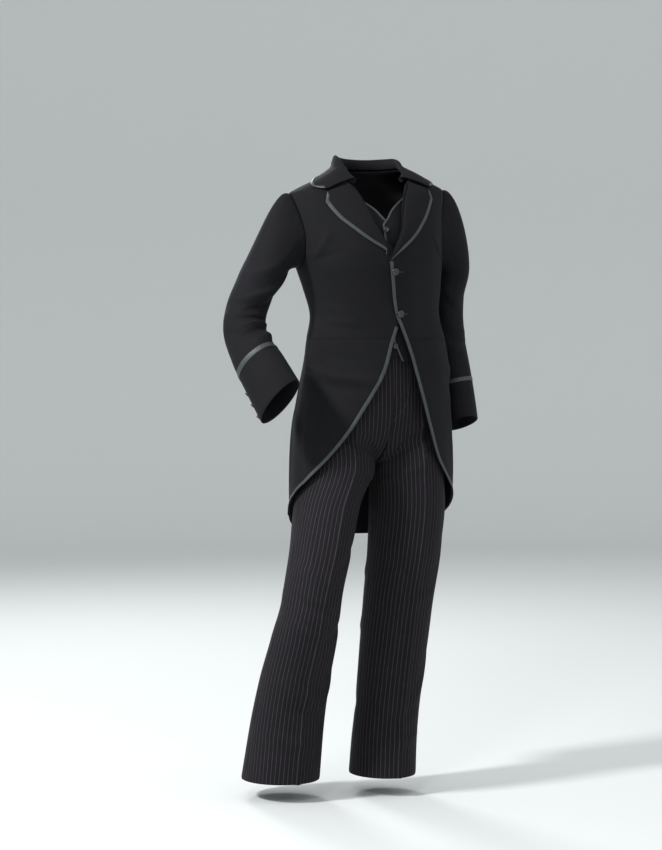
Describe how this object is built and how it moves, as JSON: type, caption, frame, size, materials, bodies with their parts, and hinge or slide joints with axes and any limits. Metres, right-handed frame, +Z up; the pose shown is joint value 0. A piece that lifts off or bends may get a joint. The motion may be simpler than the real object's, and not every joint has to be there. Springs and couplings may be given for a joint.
{
  "type": "morning suit",
  "caption": "Worn black cutaway morning coat edged with grey-green braid, with its waistcoat and pinstriped trousers, kept hollow in the pose it was worn in.",
  "frame": {"origin": "between the shoulders, at the height where the wearer's shoulders carry the suit", "axes": "+Z up the wearer's height, -Y to the wearer's front, +X to the wearer's left"},
  "size_m": [0.6573, 0.3166, 1.443],
  "materials": {
    "coat_cloth": "matte worsted wool",
    "waistcoat_cloth": "matte worsted wool",
    "striped_cloth": "matte striped wool",
    "braid": "silky flat braid",
    "horn_button": "satin horn"
  },
  "bodies": {
    "root": {"coat_front_left": "coat_cloth", "coat_side_body_left": "coat_cloth", "coat_skirt_left": "coat_cloth", "coat_back_left": "coat_cloth", "lapel_left": "coat_cloth", "top_sleeve_left": "coat_cloth", "under_sleeve_left": "coat_cloth", "edge_braid_left": "braid", "lapel_braid_left": "braid", "cuff_braid_left": "braid", "cuff_button_left_1": "horn_button", "cuff_button_left_2": "horn_button", "cuff_button_left_3": "horn_button", "hip_button_left": "horn_button", "trouser_front_left": "striped_cloth", "trouser_back_left": "striped_cloth", "waistband_left": "striped_cloth", "waistcoat_front_left": "waistcoat_cloth", "coat_front_right": "coat_cloth", "coat_side_body_right": "coat_cloth", "coat_skirt_right": "coat_cloth", "coat_back_right": "coat_cloth", "lapel_right": "coat_cloth", "top_sleeve_right": "coat_cloth", "under_sleeve_right": "coat_cloth", "edge_braid_right": "braid", "lapel_braid_right": "braid", "cuff_braid_right": "braid", "cuff_button_right_1": "horn_button", "cuff_button_right_2": "horn_button", "cuff_button_right_3": "horn_button", "hip_button_right": "horn_button", "trouser_front_right": "striped_cloth", "trouser_back_right": "striped_cloth", "waistband_right": "striped_cloth", "waistcoat_front_right": "waistcoat_cloth", "waistcoat_back": "waistcoat_cloth", "coat_collar": "coat_cloth", "coat_button_1": "horn_button", "coat_button_2": "horn_button", "waistcoat_button_1": "horn_button", "waistcoat_button_2": "horn_button", "waistcoat_button_3": "horn_button", "waistcoat_button_4": "horn_button", "waistcoat_button_5": "horn_button", "waistcoat_button_6": "horn_button"}
  },
  "joints": []
}
